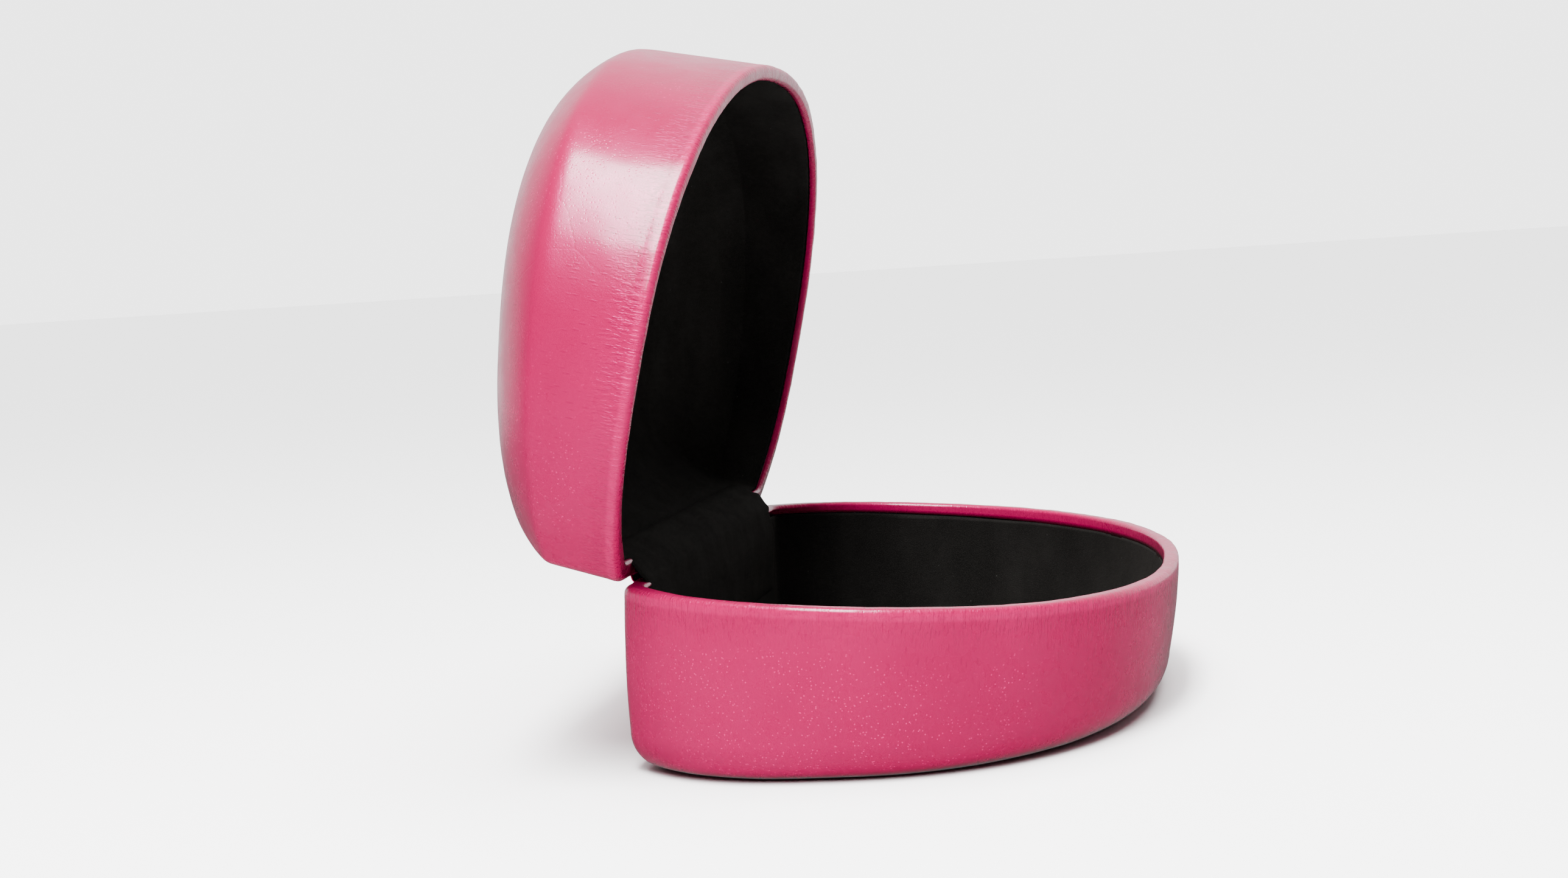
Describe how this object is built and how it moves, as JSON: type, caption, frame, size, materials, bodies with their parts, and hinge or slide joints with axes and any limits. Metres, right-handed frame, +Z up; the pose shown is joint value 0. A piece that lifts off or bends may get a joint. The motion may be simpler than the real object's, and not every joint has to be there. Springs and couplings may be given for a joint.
{
  "type": "clamshell box",
  "caption": "Leather-covered clamshell box with a D-shaped tray, a domed lid hinged along its straight back and a black velvet lining.",
  "frame": {"origin": "on the tray's flat underside, on the middle plane, halfway between the hinge line and the front tip", "axes": "+X along the hinge line, -Y towards the front tip, +Z up; the lid is stored open as in the picture"},
  "size_m": [0.162, 0.1131, 0.1238],
  "materials": {
    "leather": "glossy grained pink leather",
    "velvet": "black velvet",
    "shell_steel": "pressed sheet, satin",
    "hinge_steel": "plated, satin",
    "spring_steel": "dark tempered strip",
    "rivet": "satin"
  },
  "bodies": {
    "tray": {"tray_cover": "leather", "tray_shell": "shell_steel", "tray_lining": "velvet", "tray_hinge_leaf_left": "hinge_steel", "hinge_pin_left": "hinge_steel", "snap_spring_left": "spring_steel", "spring_rivet_left": "rivet", "tray_rivet_left_1": "rivet", "tray_rivet_left_2": "rivet", "tray_hinge_leaf_right": "hinge_steel", "hinge_pin_right": "hinge_steel", "snap_spring_right": "spring_steel", "spring_rivet_right": "rivet", "tray_rivet_right_1": "rivet", "tray_rivet_right_2": "rivet", "tray_velvet_strip": "velvet", "tray_spine_leather": "leather"},
    "lid": {"lid_cover": "leather", "lid_shell": "shell_steel", "lid_lining": "velvet", "lid_hinge_leaf_left": "hinge_steel", "lid_rivet_left_1": "rivet", "lid_rivet_left_2": "rivet", "lid_hinge_leaf_right": "hinge_steel", "lid_rivet_right_1": "rivet", "lid_rivet_right_2": "rivet", "lid_velvet_strip": "velvet", "lid_spine_leather": "leather"}
  },
  "joints": [
    {"name": "lid_hinge", "type": "hinge", "parent": "tray", "child": "lid", "pos_m": [0, 0.045, 0.03131], "axis": [1, 0, 0], "range_deg": [0, 80.5]}
  ]
}
